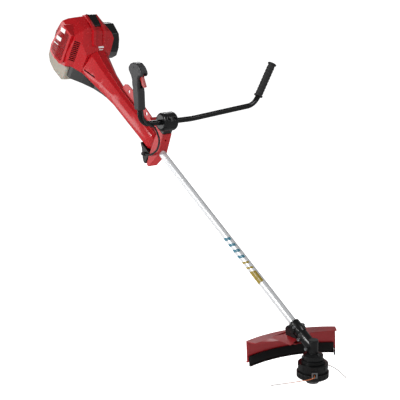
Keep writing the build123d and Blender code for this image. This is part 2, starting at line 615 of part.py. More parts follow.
def engine_pieces():
    case = block((1451.3, 1560), (-31.5, 31.5), (-30, 36)) - rod_x(27, 1462, 1550)
    case -= rod_x(8 + FIT, 1400, 1600) + rod_z(18, 0, 40, CYLINDER)
    barrel = rod_z(22, 36.2, 112, CYLINDER)
    for i in range(9):
        barrel += block((CYLINDER - 29, CYLINDER + 29), (-29, 29), (40 + 8.4 * i, 42.6 + 8.4 * i))
    barrel -= rod_z(18 + FIT, 30, 100, CYLINDER) + rod_z(5 + FIT, 90, 120, *PLUG)
    save("engine_block", group([case, barrel]), SHAFT)
    crank = rod_x(8, 1398, CYLINDER - 8) + rod_x(8, CYLINDER + 8, 1640) + rod_x(11, 1399, 1419)
    crank += rod_x(24, CYLINDER - 13, CYLINDER - 7) + rod_x(24, CYLINDER + 7, CYLINDER + 13)
    crank += rod_x(5, CYLINDER - 8, CYLINDER + 8, 0, 14)
    save("crankshaft", crank, SHAFT)
    wheel = rod_x(44, 1592, 1596) + ring_x(16, 8 + FIT, 1588, 1612) - rod_x(8 + FIT, 1580, 1620)
    for i in range(12):
        wheel += Rot(30 * i, 0, 0) * block((1595.5, 1610), (-1.5, 1.5), (18, 43))
    save("flywheel", wheel, SHAFT)
    plug = rod_z(5, 99, 146, *PLUG) + rod_z(8, 112.2, 122, *PLUG)
    coil = block((1586, 1606), (-15, 15), (46, 64)) + block((1590, 1602), (-24, -15), (46, 54))
    save("ignition_set", group([plug, coil]), SHAFT)
    muffler = block((1530, 1586), (34, 92), (6, 88))
    muffler = fillet(muffler.edges(), 6) - block((1533, 1583), (38, 88), (10, 84))
    muffler += ring_z(7, 5, 80, 95, 1575, 78)
    save("muffler", muffler, SHAFT)
    carburettor = block((1500, 1538), (-66, -31), (36.4, 74)) + rod_y(15, -83, -66, 1519, 54)
    carburettor += rod_z(13, 24, 36.5, 1519, -50)
    save("carburettor", carburettor - rod_y(9, -90, -31, 1519, 54), SHAFT)


def starter_pieces():
    outline_points = [(-66, -48), (-72, 38), (-52, 49), (60, 49), (78, 34), (74, -48)]
    cover = prism_x(outline_points, REAR + GAP, REAR + 12, corner=6)
    cover += rod_x(STARTER_R + 3, REAR + 11, REAR + 24)
    cover = fillet(cover.edges().filter_by(GeomType.CIRCLE).group_by(Axis.X)[-1], 4)
    cover -= prism_x(outline_points, REAR - 1, REAR + 9, inset=3, corner=3)
    cover -= rod_x(STARTER_R, REAR, REAR + 21)
    cover += rod_x(6, REAR + 4, REAR + 22)
    for i in range(16):
        cover -= Rot(22.5 * i, 0, 0) * block((REAR + 15, REAR + 30), (-2, 2), (14, 36))
    cover -= rod_y(4, -90, -50, 1646, 20)
    save("starter_cover", cover, SHAFT)
    reel = ring_x(34, 6 + FIT, REAR + 6, REAR + 8) + ring_x(34, 6 + FIT, REAR + 16, REAR + 18)
    reel += ring_x(24, 6 + FIT, REAR + 6, REAR + 18)
    save("starter_reel", reel, SHAFT)
    handle = block((1640.6, 1651.4), (-92, -78), (3, 37))
    handle = fillet(handle.edges(), 4) + rod_y(3.5, -79, -60, 1646, 20)
    save("starter_handle", handle, SHAFT)


def tank_pieces():
    side = [(1522.6, -51), (1648, -51), (1668, -70), (1666, -94), (1642, -116), (1602, -127), (1540, -125),
            (1522.6, -112)]
    tank = prism_y(side, -72, 72, corner=4)
    rims = tank.edges().filter_by(lambda e: abs(abs(e.center().Y) - 72) < 0.01)
    tank = fillet(rims, 9)
    tank -= prism_y(side, -68, 68, inset=3.5)
    tank += rod_y(17, -77, -71, 1592, -88)
    tank -= rod_y(12, -80, -60, 1592, -88)
    save("fuel_tank", tank, SHAFT)
    cap = rod_y(20, -94, -77.2, 1592, -88)
    cap = fillet(cap.edges().filter_by(GeomType.CIRCLE).group_by(Axis.Y)[0], 3)
    cap += block((1574, 1610), (-98, -93.5), (-91, -85)) + rod_y(11.6, -77.3, -70, 1592, -88)
    for i in range(16):
        cap -= Pos(1592, 0, -88) * Rot(0, 22.5 * i, 0) * rod_y(1.6, -91, -76, 20.4, 0)
    save("fuel_cap", cap, SHAFT)
    bulb = rod_y(9, -82, -66, *PRIMER)
    bulb = fillet(bulb.edges().filter_by(GeomType.CIRCLE).group_by(Axis.Y)[0], 6)
    save("primer_bulb", bulb, SHAFT)
    lever = rod_y(8, -82, -78.5, *CHOKE) + rod_y(3, -79, -66, *CHOKE)
    lever += block((CHOKE[0] - 3, CHOKE[0] + 3), (-82, -78.5), (CHOKE[1], CHOKE[1] + 26))
    lever += block((CHOKE[0] - 4, CHOKE[0] + 4), (-88, -78.5), (CHOKE[1] + 20, CHOKE[1] + 26))
    save("choke_lever", lever, SHAFT)


CALLS = [shaft_pieces, gearbox_pieces, head_pieces, guard_pieces, handle_pieces, throttle_pieces,
         harness_pieces, fairing_pieces, cowling_pieces, clutch_pieces, engine_pieces, starter_pieces,
         tank_pieces]
for make in CALLS:
    make()

os.makedirs("parts", exist_ok=True)
for name, shape in nodes.items():
    export_step(shape, "parts/" + name + ".step")
print(len(nodes), "nodes:", *nodes)
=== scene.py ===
# %% [markdown]
# # A petrol string trimmer
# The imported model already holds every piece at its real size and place.
# What is left for Blender is how the machine looks: its plastics, paint, bare tube and
# rubber, the small rounded edges that every moulding has, and the nylon line and cable.

# %%  load the machine
import math

import bmesh
import bpy
from mathutils import Matrix, Vector


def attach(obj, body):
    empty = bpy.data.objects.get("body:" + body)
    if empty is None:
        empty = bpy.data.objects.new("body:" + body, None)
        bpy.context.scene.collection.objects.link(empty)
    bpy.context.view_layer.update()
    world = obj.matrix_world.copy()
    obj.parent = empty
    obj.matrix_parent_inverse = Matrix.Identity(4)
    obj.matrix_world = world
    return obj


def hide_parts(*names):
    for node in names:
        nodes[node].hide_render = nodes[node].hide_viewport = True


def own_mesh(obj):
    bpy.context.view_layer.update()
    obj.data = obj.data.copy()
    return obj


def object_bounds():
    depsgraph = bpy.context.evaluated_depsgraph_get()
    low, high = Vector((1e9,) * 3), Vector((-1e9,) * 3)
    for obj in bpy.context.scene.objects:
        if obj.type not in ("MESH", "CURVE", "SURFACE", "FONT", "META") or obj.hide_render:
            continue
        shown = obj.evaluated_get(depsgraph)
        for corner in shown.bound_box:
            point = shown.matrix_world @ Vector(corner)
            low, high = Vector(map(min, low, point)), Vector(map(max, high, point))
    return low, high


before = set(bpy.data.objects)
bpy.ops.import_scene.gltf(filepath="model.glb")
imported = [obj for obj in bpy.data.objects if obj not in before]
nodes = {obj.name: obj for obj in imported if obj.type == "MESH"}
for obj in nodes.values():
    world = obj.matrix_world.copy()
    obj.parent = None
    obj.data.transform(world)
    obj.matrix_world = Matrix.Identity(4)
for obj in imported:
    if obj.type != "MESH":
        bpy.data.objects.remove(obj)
cad_box = [list(map(float, corner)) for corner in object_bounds()]
print("loaded", len(nodes), "pieces, box", cad_box)

# %% [markdown]
# ## Where things are
# The shaft slopes down to the cutting head, so most pieces line up with it rather than
# with the ground. Two frames keep the numbers simple: one along the shaft, and one at
# the gearbox with its axes level. The common origin is the rear hole of the harness plate.

# %%  shaft and head frames
SLOPE = math.radians(33.0)
UP_SHAFT = Vector((-math.cos(SLOPE), 0, math.sin(SLOPE)))
OFF_SHAFT = Vector((math.sin(SLOPE), 0, math.cos(SLOPE)))
RIGHT = Vector((0, -1, 0))
EYE_STATION, EYE_HEIGHT = 1.216, 0.063
CYLINDER_STATION = 1.516
GEARBOX = -(UP_SHAFT * EYE_STATION + OFF_SHAFT * EYE_HEIGHT)
BAR = GEARBOX + UP_SHAFT * 0.969 + OFF_SHAFT * 0.124


def along(station, right, off):
    """A point from its station up the shaft, its distance to the right and off the shaft."""
    return GEARBOX + UP_SHAFT * station + RIGHT * right + OFF_SHAFT * off


print("gearbox at", [round(v, 4) for v in GEARBOX], "bar at", [round(v, 4) for v in BAR])

# %% [markdown]
# ## Camera
# The machine is nearly two metres long and is seen from its right, a little in front
# and slightly above. A long lens from over three metres away keeps the engine and the
# head at their true relative sizes.

# %%  camera
AZIMUTH, ELEVATION = math.radians(51.1), math.radians(13.0)
CAMERA_AT = Vector((3.0616, -2.1324, 0.4450))
LENS_MM = 90.0

look = -Vector((math.sin(AZIMUTH) * math.cos(ELEVATION),
                -math.cos(AZIMUTH) * math.cos(ELEVATION),
                math.sin(ELEVATION)))
camera_data = bpy.data.cameras.new("camera")
camera_data.lens = LENS_MM
camera_data.sensor_width = 36.0
camera_data.clip_end = 500.0
camera = bpy.data.objects.new("camera", camera_data)
camera.matrix_world = Matrix.Translation(CAMERA_AT) @ look.to_track_quat("-Z", "Y").to_matrix().to_4x4()
bpy.context.collection.objects.link(camera)
bpy.context.scene.camera = camera
print("camera looks along", [round(v, 3) for v in look])

# %% [markdown]
# ## Nylon line and throttle cable
# A cord is a fixed length of something springy. Each one is a single smooth curve
# through a few control points, with a round bevel for its thickness. The line leaves
# the head straight through its eyelets and then droops; the cable arches from the
# throttle grip down to the nose of the fairing.

# %%  cords
LINE_THICK = 0.0024
CABLE_THICK = 0.007
LINE_RIGHT_LENGTH, LINE_LEFT_LENGTH, CABLE_LENGTH = 0.160, 0.165, 0.294
MM = 0.001
LINE_RIGHT = [(37.6, -29.9, -72), (49, -39, -72.5), (46, -56, -74.5), (31, -76, -79),
              (5, -98, -87), (-24, -118, -97), (-52, -131, -107)]
LINE_LEFT = [(-37.6, 29.9, -72), (-50, 39.8, -73), (-47, 64, -77), (-32, 95, -87),
             (-13, 132, -110), (-1, 158, -142)]
CABLE = [(14, -124, 51.6), (14, -122, 26), (15, -110, 3), (15, -86, -7), (10, -70, -12),
         (2, -56, -28), (6, -48, -51), (1, -42, -74), (-24, -34, -104), (-54, -30, -122),
         (-84, -26.5, -131), (-108, -26.5, -131)]


def cord(name, origin, route, thickness):
    """One smooth round cord whose control points are route, in millimetres from origin."""
    curve = bpy.data.curves.new(name, "CURVE")
    curve.dimensions = "3D"
    # each point carries the real radius, in metres, so the round bevel has depth 1
    curve.bevel_depth = 1.0
    curve.bevel_resolution = 4
    curve.use_fill_caps = True
    curve.resolution_u = 12
    spline = curve.splines.new("NURBS")
    spline.points.add(len(route) - 1)
    for point, place in zip(spline.points, route):
        point.co = (*(origin + Vector(place) * MM), 1)
        point.radius = thickness / 2
    spline.order_u = 3
    spline.use_endpoint_u = True
    piece = bpy.data.objects.new(name, curve)
    bpy.context.collection.objects.link(piece)
    return piece


line_right = cord("nylon_line_right", GEARBOX, LINE_RIGHT, LINE_THICK)
line_left = cord("nylon_line_left", GEARBOX, LINE_LEFT, LINE_THICK)
cable = cord("throttle_cable_sheath", BAR, CABLE, CABLE_THICK)
for piece, route, node, length in ((line_right, LINE_RIGHT, "cutting_line_right", LINE_RIGHT_LENGTH),
                                   (line_left, LINE_LEFT, "cutting_line_left", LINE_LEFT_LENGTH)):
    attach(piece, "cutting_head")
    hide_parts(node)
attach(cable, "frame")
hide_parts("throttle_cable")
print("cords made: two lines and one cable")

# %% [markdown]
# ## The spring behind the bump knob
# Pressing the knob squeezes a coil spring, whose coils close up evenly. It is a tube
# swept round a helix, one ring of points at a time.

# %%  coil spring
SPRING_R, WIRE_R, SPRING_RISE, SPRING_TURNS = 0.008, 0.0007, 0.018, 5
SPRING_FOOT = -0.0792
RING, STEPS = 8, 120


def coil_spring():
    mesh = bmesh.new()
    rings = []
    for i in range(STEPS + 1):
        turn = 2 * math.pi * SPRING_TURNS * i / STEPS
        out = Vector((math.cos(turn), math.sin(turn), 0))
        centre = GEARBOX + out * SPRING_R + Vector((0, 0, SPRING_FOOT + SPRING_RISE * i / STEPS))
        rings.append([])
        for j in range(RING):
            round_wire = 2 * math.pi * j / RING
            spot = out * math.cos(round_wire) + Vector((0, 0, math.sin(round_wire)))
            rings[-1].append(mesh.verts.new(centre + spot * WIRE_R))
    for lower, upper in zip(rings, rings[1:]):
        for j in range(RING):
            k = (j + 1) % RING
            mesh.faces.new((lower[j], lower[k], upper[k], upper[j]))
    mesh.faces.new(rings[0])
    mesh.faces.new(rings[-1])
    bmesh.ops.recalc_face_normals(mesh, faces=mesh.faces)
    data = bpy.data.meshes.new("knob_spring")
    mesh.to_mesh(data)
    mesh.free()
    for face in data.polygons:
        face.use_smooth = len(face.vertices) == 4
    piece = bpy.data.objects.new("knob_spring", data)
    bpy.context.collection.objects.link(piece)
    return piece


spring = coil_spring()
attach(spring, "spool")
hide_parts("bump_spring")
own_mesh(spring)
print("spring of", SPRING_TURNS, "turns")

# %% [markdown]
# ## Rounded edges
# No moulding or casting has a perfectly sharp edge, and it is the thin bright line
# along an edge that tells the eye how big a piece is. A bevel modifier rounds every
# sharp corner without touching the piece's own mesh. Plastic covers get about a
# millimetre, castings and bent steel rather less.

# %%  edge rounding
EDGE_ANGLE = math.radians(28)


def soften(names, radius_mm, segments=2):
    """Rounds the sharp edges of some pieces."""
    for name in names.split():
        piece = nodes[name]
        weld = piece.modifiers.new("weld", "WELD")
        weld.merge_threshold = 1e-5
        bevel = piece.modifiers.new("bevel", "BEVEL")
        bevel.width = radius_mm * MM
        bevel.segments = segments
        bevel.limit_method = "ANGLE"
        bevel.angle_limit = EDGE_ANGLE
        bevel.harden_normals = True
    print("rounded", names, "by", radius_mm, "mm")


soften("engine_cowling fairing muffler_cover lower_cover", 1.1)
soften("guard guard_skirt handle_bracket nose_buffer head_cap head_housing", 0.8)
soften("clamp_lower clamp_upper gearbox_case guard_clamp_upper guard_clamp_lower", 0.7)
soften("harness_plate throttle_trigger lockout_lever starter_cover", 0.5)

# %% [markdown]
# ## Material tools
# A shader is a small tree of nodes. One function turns a paint-shop hex colour into
# the linear numbers that light is added up in, one adds a node, and one makes an empty
# material. Every pattern below starts from a length in millimetres.

# %%  material tools
def linear(hex_code):
    """The linear colour of an sRGB hex code."""
    channels = [int(hex_code[i:i + 2], 16) / 255 for i in (0, 2, 4)]
    return [c / 12.92 if c <= 0.04045 else ((c + 0.055) / 1.055) ** 2.4 for c in channels] + [1.0]


def add(tree, kind, inputs, **settings):
    """Adds a node: settings are its properties, inputs its values or the sockets that feed it."""
    node = tree.nodes.new("ShaderNode" + kind)
    for key, value in settings.items():
        setattr(node, key, value)
    for key, value in inputs.items():
        if isinstance(value, bpy.types.NodeSocket):
            tree.links.new(value, node.inputs[key])
        else:
            node.inputs[key].default_value = value
    return node


def new_material(name):
    """An empty material, its node tree and its piece-space coordinates."""
    material = bpy.data.materials.new(name)
    material.use_nodes = True
    tree = material.node_tree
    tree.nodes.clear()
    place = add(tree, "TexCoord", {}).outputs["Object"]
    return material, tree, place


def surface(tree, inputs):
    """Ends a tree with one shader."""
    shader = add(tree, "BsdfPrincipled", inputs)
    add(tree, "OutputMaterial", {"Surface": shader.outputs["BSDF"]})


def per_mm(size):
    """The texture scale that makes one feature size millimetres wide."""
    return 1000.0 / size


def measured(tree, place, direction):
    """Distance from the gearbox along one direction, in metres, as a socket."""
    from_head = add(tree, "VectorMath", {0: place, 1: GEARBOX}, operation="SUBTRACT").outputs[0]
    return add(tree, "VectorMath", {0: from_head, 1: direction}, operation="DOT_PRODUCT").outputs["Value"]


# %% [markdown]
# ## Moulded plastics
# The covers are injection-moulded. Gloss ABS takes the polish of its mould, so it
# shows clear reflections with only a faint ripple. Nylon with glass fibre, used for
# the black covers and the head, has a spark-eroded mould that leaves a fine grain and
# a soft sheen. Both need the same few nodes, so one function makes them.

# %%  moulded plastic
CLOUD_MM, SCUFF_MM = 45, 9


def moulded(name, hex_code, shade_hex, roughness, grain_mm, grain_depth_mm, spread=0.06, coat=0.0):
    """Moulded plastic: a little cloudiness in its colour, and a grain in its surface."""
    material, tree, place = new_material(name)
    cloud = add(tree, "TexNoise", {"Vector": place, "Scale": per_mm(CLOUD_MM), "Detail": 4.0})
    colour = add(tree, "Mix", {"Factor": cloud.outputs["Fac"], "A": linear(shade_hex),
                               "B": linear(hex_code)}, data_type="RGBA")
    scuff = add(tree, "TexNoise", {"Vector": place, "Scale": per_mm(SCUFF_MM), "Detail": 6.0})
    rough = add(tree, "MapRange", {"Value": scuff.outputs["Fac"], "To Min": roughness - spread,
                                   "To Max": roughness + spread})
    grain = add(tree, "TexNoise", {"Vector": place, "Scale": per_mm(grain_mm), "Detail": 3.0})
    bump = add(tree, "Bump", {"Height": grain.outputs["Fac"], "Strength": 0.6,
                              "Distance": grain_depth_mm * MM})
    surface(tree, {"Base Color": colour.outputs["Result"], "Roughness": rough.outputs["Result"],
                   "Normal": bump.outputs["Normal"], "IOR": 1.53, "Coat Weight": coat,
                   "Coat Roughness": 0.08})
    return material


gloss_red = moulded("gloss_red_abs", "A80C16", "9C0A12", 0.26, 3.0, 0.01, coat=0.2)
trigger_red = moulded("gloss_red_acetal", "9C2423", "8E1E1D", 0.30, 3.0, 0.01)
guard_red = moulded("dark_red_nylon", "94141B", "861117", 0.36, 1.6, 0.03)
black_nylon = moulded("black_glass_filled_nylon", "0A0A0B", "070708", 0.38, 1.2, 0.04)
gloss_black = moulded("gloss_black_abs", "0A0B0C", "070808", 0.26, 3.0, 0.01)
grip_grey = moulded("charcoal_nylon", "2B2B2D", "242426", 0.46, 1.0, 0.04)
knob_grey = moulded("grey_nylon", "3C3C3D", "343436", 0.44, 1.0, 0.04)
print("plastics:", gloss_red.name, guard_red.name, black_nylon.name)

# %% [markdown]
# ## The air filter cover
# The cover is moulded in glossy black above and painted a satin grey below, so one
# shader needs both. The height off the shaft decides which one a point gets.

# %%  two-tone cover
SPLIT_HEIGHT, SPLIT_SLANT, SPLIT_BLEND = 0.072, -0.5, 0.001


def two_tone_cover():
    material, tree, place = new_material("black_and_grey_nylon")
    station = measured(tree, place, UP_SHAFT)
    off = measured(tree, place, OFF_SHAFT)
    back = add(tree, "Math", {0: station, 1: CYLINDER_STATION}, operation="SUBTRACT").outputs[0]
    height = add(tree, "Math", {0: back, 1: SPLIT_SLANT, 2: off}, operation="MULTIPLY_ADD").outputs[0]
    upper = add(tree, "MapRange", {"Value": height, "From Min": SPLIT_HEIGHT - SPLIT_BLEND,
                                   "From Max": SPLIT_HEIGHT + SPLIT_BLEND}).outputs[0]
    cloud = add(tree, "TexNoise", {"Vector": place, "Scale": per_mm(20), "Detail": 4.0}).outputs["Fac"]
    grey = add(tree, "Mix", {"Factor": cloud, "A": linear("3A3A3B"), "B": linear("464647")},
               data_type="RGBA").outputs["Result"]
    black = add(tree, "Mix", {"Factor": cloud, "A": linear("0F1011"), "B": linear("16171A")},
                data_type="RGBA").outputs["Result"]
    colour = add(tree, "Mix", {"Factor": upper, "A": grey, "B": black}, data_type="RGBA").outputs["Result"]
    rough = add(tree, "MapRange", {"Value": upper, "To Min": 0.42, "To Max": 0.26}).outputs[0]
    grain = add(tree, "TexNoise", {"Vector": place, "Scale": per_mm(1.2), "Detail": 3.0}).outputs["Fac"]
    bump = add(tree, "Bump", {"Height": grain, "Strength": 0.6, "Distance": 0.03 * MM}).outputs["Normal"]
    surface(tree, {"Base Color": colour, "Roughness": rough, "Normal": bump, "IOR": 1.53})
    return material


cover_tones = two_tone_cover()
print("cover splits at", SPLIT_HEIGHT * 1000, "mm off the shaft")

# %% [markdown]
# ## The fuel tank
# A blow-moulded HDPE tank is milky: light goes in and is scattered about before it
# comes out, so it looks warm and soft with no hard shadow. Subsurface scattering gives
# that, with a radius of a few millimetres.

# %%  tank plastic
def milky_hdpe():
    material, tree, place = new_material("milky_hdpe")
    cloud = add(tree, "TexNoise", {"Vector": place, "Scale": per_mm(30), "Detail": 3.0})
    colour = add(tree, "Mix", {"Factor": cloud.outputs["Fac"], "A": linear("857E72"),
                               "B": linear("908A7E")}, data_type="RGBA")
    grain = add(tree, "TexNoise", {"Vector": place, "Scale": per_mm(2.5), "Detail": 3.0})
    bump = add(tree, "Bump", {"Height": grain.outputs["Fac"], "Strength": 0.5, "Distance": 0.06 * MM})
    surface(tree, {"Base Color": colour.outputs["Result"], "Roughness": 0.42, "IOR": 1.54,
                   "Subsurface Weight": 0.2, "Subsurface Scale": 0.002,
                   "Normal": bump.outputs["Normal"]})
    return material


tank_white = milky_hdpe()

# %% [markdown]
# ## The bare tube and its bands
# The shaft is drawn aluminium, anodised clear. Drawing leaves fine scratches along the
# tube, and these stretch the reflection round it. Its only decoration is a set of
# generic bands on the right side: slanting blue ones, then gold ones. Measuring along
# the shaft inside the shader puts them where they belong.

# %%  tube metal
BANDS_FROM, BANDS_TO = 0.285, 0.515
# station where each band starts, its colour, and whether it shows
BANDS = [(0.285, "8F7B2C", 1), (0.340, "8F7B2C", 0), (0.352, "98832F", 1), (0.360, "98832F", 0),
         (0.376, "98832F", 1), (0.384, "98832F", 0), (0.402, "3F7487", 1), (0.414, "3F7487", 0),
         (0.430, "3F7487", 1), (0.442, "3F7487", 0), (0.458, "3F7487", 1), (0.470, "3F7487", 0),
         (0.486, "3F7487", 1), (0.498, "3F7487", 0)]
# how far the bands lean, and how far round to the right they begin
BAND_SLANT, BAND_EDGE = 0.7, 0.002
SCRATCH_APART_MM, SCRATCH_LONG_MM = 0.8, 60
ANODISED_METAL = 0.28


def drawn_tube():
    material, tree, place = new_material("anodised_drawn_aluminium")
    station = measured(tree, place, UP_SHAFT)
    off = measured(tree, place, OFF_SHAFT)
    right = measured(tree, place, RIGHT)
    # drawing lines: long ones, as close together as they can still show
    squeeze = SCRATCH_APART_MM / SCRATCH_LONG_MM
    long_way = add(tree, "Math", {0: station, 1: squeeze}, operation="MULTIPLY").outputs[0]
    stretched = add(tree, "CombineXYZ", {"X": long_way, "Y": right, "Z": off}).outputs[0]
    lines = add(tree, "TexNoise", {"Vector": stretched, "Scale": per_mm(SCRATCH_APART_MM),
                                   "Detail": 2.0}).outputs["Fac"]
    # bands: slanted, so the station shifts with the height on the tube
    slant = add(tree, "Math", {0: off, 1: BAND_SLANT, 2: station}, operation="MULTIPLY_ADD").outputs[0]
    share = add(tree, "MapRange", {"Value": slant, "From Min": BANDS_FROM, "From Max": BANDS_TO}).outputs[0]
    ramp = add(tree, "ValToRGB", {"Fac": share})
    stops = ramp.color_ramp
    stops.interpolation = "CONSTANT"
    for start, hex_code, shown in BANDS:
        position = (start - BANDS_FROM) / (BANDS_TO - BANDS_FROM)
        stop = stops.elements[0] if start == BANDS_FROM else stops.elements.new(position)
        stop.color = (*linear(hex_code)[:3], shown)
    stops.elements[-1].color = (*linear("3F7487")[:3], 0)
    stops.elements[-1].position = 1.0
    near_side = add(tree, "Math", {0: right, 1: BAND_EDGE}, operation="GREATER_THAN").outputs[0]
    below_top = add(tree, "Math", {0: station, 1: BANDS_FROM}, operation="GREATER_THAN").outputs[0]
    mask = add(tree, "Math", {0: near_side, 1: below_top}, operation="MULTIPLY").outputs[0]
    mask = add(tree, "Math", {0: mask, 1: ramp.outputs["Alpha"]}, operation="MULTIPLY").outputs[0]
    bare = add(tree, "Mix", {"Factor": lines, "A": linear("CDCFD1"), "B": linear("E6E7E9")},
               data_type="RGBA").outputs["Result"]
    colour = add(tree, "Mix", {"Factor": mask, "A": bare, "B": ramp.outputs["Color"]},
                 data_type="RGBA").outputs["Result"]
    # the clear oxide skin scatters part of the light, so it is not a pure mirror
    metal = add(tree, "MapRange", {"Value": mask, "To Min": ANODISED_METAL, "To Max": 0.0}).outputs[0]
    rough = add(tree, "MapRange", {"Value": lines, "To Min": 0.26, "To Max": 0.42}).outputs[0]
    bump = add(tree, "Bump", {"Height": lines, "Strength": 0.4, "Distance": 0.02 * MM}).outputs["Normal"]
    surface(tree, {"Base Color": colour, "Metallic": metal, "Roughness": rough, "Normal": bump})
    return material


tube_metal = drawn_tube()

# %% [markdown]
# ## Castings, steel and paint
# The gearbox and clamps are die-cast and powder-coated: the coat is thick enough to
# ripple like orange peel. Screws and eyelets are zinc-plated steel. Inside, the engine
# is bare cast aluminium, slightly pebbled by its mould.

# %%  coatings and metals
def coated(name, hex_code, roughness, ripple_mm):
    """Powder coat or wet paint on metal: even colour, rippled surface."""
    material, tree, place = new_material(name)
    ripple = add(tree, "TexNoise", {"Vector": place, "Scale": per_mm(ripple_mm), "Detail": 2.0})
    tint = add(tree, "MapRange", {"Value": ripple.outputs["Fac"], "To Min": 0.9, "To Max": 1.08})
    colour = add(tree, "VectorMath", {0: linear(hex_code)[:3], "Scale": tint.outputs["Result"]},
                 operation="SCALE")
    bump = add(tree, "Bump", {"Height": ripple.outputs["Fac"], "Strength": 0.5, "Distance": 0.06 * MM})
    surface(tree, {"Base Color": colour.outputs[0], "Roughness": roughness,
                   "Normal": bump.outputs["Normal"], "IOR": 1.5})
    return material


def bare_metal(name, hex_code, dark_hex, roughness, pebble_mm):
    """Bare metal whose surface is pebbled or brushed."""
    material, tree, place = new_material(name)
    pebble = add(tree, "TexNoise", {"Vector": place, "Scale": per_mm(pebble_mm), "Detail": 5.0})
    colour = add(tree, "Mix", {"Factor": pebble.outputs["Fac"], "A": linear(dark_hex),
                               "B": linear(hex_code)}, data_type="RGBA")
    rough = add(tree, "MapRange", {"Value": pebble.outputs["Fac"], "To Min": roughness - 0.08,
                                   "To Max": roughness + 0.08})
    bump = add(tree, "Bump", {"Height": pebble.outputs["Fac"], "Strength": 0.4, "Distance": 0.05 * MM})
    surface(tree, {"Base Color": colour.outputs["Result"], "Metallic": 1.0,
                   "Roughness": rough.outputs["Result"], "Normal": bump.outputs["Normal"]})
    return material


powder_black = coated("black_powder_coat", "101112", 0.28, 2.2)
bar_black = coated("black_gloss_enamel", "0B0C0D", 0.24, 3.0)
plate_red = coated("red_enamel", "A20D15", 0.30, 3.0)
zinc = bare_metal("zinc_plated_steel", "C4C6C8", "9FA1A4", 0.32, 1.2)
cast = bare_metal("die_cast_aluminium", "9A9C9F", "7C7E81", 0.50, 1.5)
dark_steel = bare_metal("oiled_steel", "5C5E61", "424447", 0.40, 2.0)
print("metals:", zinc.name, cast.name, powder_black.name)

# %% [markdown]
# ## Rubber, foam and nylon line
# The left grip is soft rubber with a dull skin. The air filter is open-cell foam,
# whose pores show as a fine pattern of pits. The cutting line is extruded nylon:
# smooth, a little see-through and orange where it is new, greyed where it has cut.

# %%  rubber, foam and line
# distance from the gearbox where the line starts to look worn, and where it is wholly grey
WORN_FROM, WORN_TO = 0.095, 0.15


def soft_rubber():
    material, tree, place = new_material("moulded_rubber")
    skin = add(tree, "TexNoise", {"Vector": place, "Scale": per_mm(0.9), "Detail": 4.0})
    dust = add(tree, "TexNoise", {"Vector": place, "Scale": per_mm(14), "Detail": 5.0})
    colour = add(tree, "Mix", {"Factor": dust.outputs["Fac"], "A": linear("161617"),
                               "B": linear("222224")}, data_type="RGBA")
    bump = add(tree, "Bump", {"Height": skin.outputs["Fac"], "Strength": 0.6, "Distance": 0.08 * MM})
    surface(tree, {"Base Color": colour.outputs["Result"], "Roughness": 0.68, "IOR": 1.52,
                   "Normal": bump.outputs["Normal"]})
    return material


def filter_foam():
    material, tree, place = new_material("open_cell_foam")
    pores = add(tree, "TexVoronoi", {"Vector": place, "Scale": per_mm(1.6)})
    colour = add(tree, "Mix", {"Factor": pores.outputs["Distance"], "A": linear("101012"),
                               "B": linear("38383A")}, data_type="RGBA")
    bump = add(tree, "Bump", {"Height": pores.outputs["Distance"], "Distance": 0.5 * MM})
    surface(tree, {"Base Color": colour.outputs["Result"], "Roughness": 0.9,
                   "Normal": bump.outputs["Normal"]})
    return material


def nylon_line():
    material, tree, place = new_material("extruded_nylon_line")
    from_head = add(tree, "VectorMath", {0: place, 1: GEARBOX}, operation="SUBTRACT").outputs[0]
    reach = add(tree, "VectorMath", {0: from_head}, operation="LENGTH").outputs["Value"]
    worn = add(tree, "MapRange", {"Value": reach, "From Min": WORN_FROM, "From Max": WORN_TO}).outputs[0]
    streak = add(tree, "TexNoise", {"Vector": place, "Scale": per_mm(6), "Detail": 3.0}).outputs["Fac"]
    fresh = add(tree, "Mix", {"Factor": streak, "A": linear("C9622A"), "B": linear("DE8247")},
                data_type="RGBA").outputs["Result"]
    colour = add(tree, "Mix", {"Factor": worn, "A": fresh, "B": linear("7C7672")},
                 data_type="RGBA").outputs["Result"]
    surface(tree, {"Base Color": colour, "Roughness": 0.32, "IOR": 1.53,
                   "Subsurface Weight": 0.15, "Subsurface Scale": 0.001})
    return material


rubber, foam, line_nylon = soft_rubber(), filter_foam(), nylon_line()
print("soft materials:", rubber.name, foam.name, line_nylon.name)

# %% [markdown]
# ## Dressing the pieces
# Each piece takes the finish of the real one. The list reads like a parts sheet: the
# finish first, then everything made in it.

# %%  finishes by piece
FINISHES = [
    (gloss_red, "engine_cowling fairing muffler_cover"),
    (trigger_red, "throttle_trigger stop_switch"),
    (guard_red, "guard"),
    (plate_red, "harness_plate handle_bracket"),
    (gloss_black, "plug_cover"),
    (cover_tones, "air_filter_cover"),
    (knob_grey, "bump_knob"),
    (black_nylon, "lower_cover nose_buffer guard_skirt head_housing head_cap line_spool"),
    (black_nylon, "lockout_lever starter_cover starter_handle fuel_cap ignition_set"),
    (grip_grey, "grip_right_half grip_left_half starter_reel choke_lever primer_bulb"),
    (tank_white, "fuel_tank"),
    (tube_metal, "shaft_tube"),
    (powder_black, "gearbox_case gearbox_cap guard_clamp_upper guard_clamp_lower"),
    (powder_black, "clamp_lower clamp_upper"),
    (bar_black, "handlebar"),
    (zinc, "line_eyelets line_cutter cap_screws grease_plug bump_spring"),
    (cast, "clutch_housing engine_block flywheel carburettor"),
    (dark_steel, "drive_shaft shaft_bearings drive_pinion output_gear output_spindle"),
    (dark_steel, "clutch_drum clutch_shoes crankshaft muffler grip_screws"),
    (rubber, "left_grip"),
    (foam, "air_filter_element"),
]


def dress(piece, material):
    """Gives every face of a piece one material."""
    if not piece.material_slots:
        piece.data.materials.append(material)
    for place in piece.material_slots:
        place.link = "OBJECT"
        place.material = material


